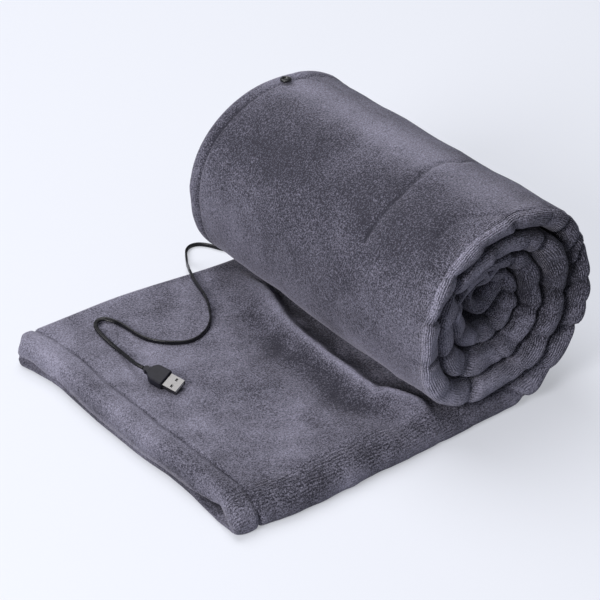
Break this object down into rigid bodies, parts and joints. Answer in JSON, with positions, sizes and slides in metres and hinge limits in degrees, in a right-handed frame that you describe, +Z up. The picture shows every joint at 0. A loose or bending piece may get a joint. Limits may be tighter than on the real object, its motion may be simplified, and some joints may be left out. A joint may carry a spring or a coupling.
{
  "type": "electric heated throw blanket",
  "caption": "Plush heated throw folded lengthwise and rolled from one end, with a flat flap left out and a low-voltage lead with a rectangular plug.",
  "frame": {"origin": "middle of the rolled blanket's footprint, on the surface it lies on", "axes": "+X from the flap's free hem towards the roll, +Y along the roll's axis towards the end with the hems, +Z up"},
  "size_m": [0.3319, 0.3526, 0.1658],
  "materials": {
    "plush": "double-faced short-pile plush, mid grey with a violet cast, matt",
    "stud_black": "moulded black press stud, slight sheen",
    "moulded_black": "soft moulded black plastic, satin",
    "cord_black": "flat black lead jacket, satin with a soft highlight",
    "plated_metal": "plated sheet metal, bright and slightly brushed",
    "tongue_white": "white moulded plastic, satin"
  },
  "bodies": {
    "root": {"blanket": "plush", "press_stud": "stud_black", "lead_relief": "moulded_black", "lead_start": "cord_black", "lead_coil": "cord_black", "coil_tie": "moulded_black", "lead_run": "cord_black", "plug_relief": "moulded_black", "plug_body": "moulded_black", "plug_shell": "plated_metal", "plug_tongue": "tongue_white"}
  },
  "joints": []
}
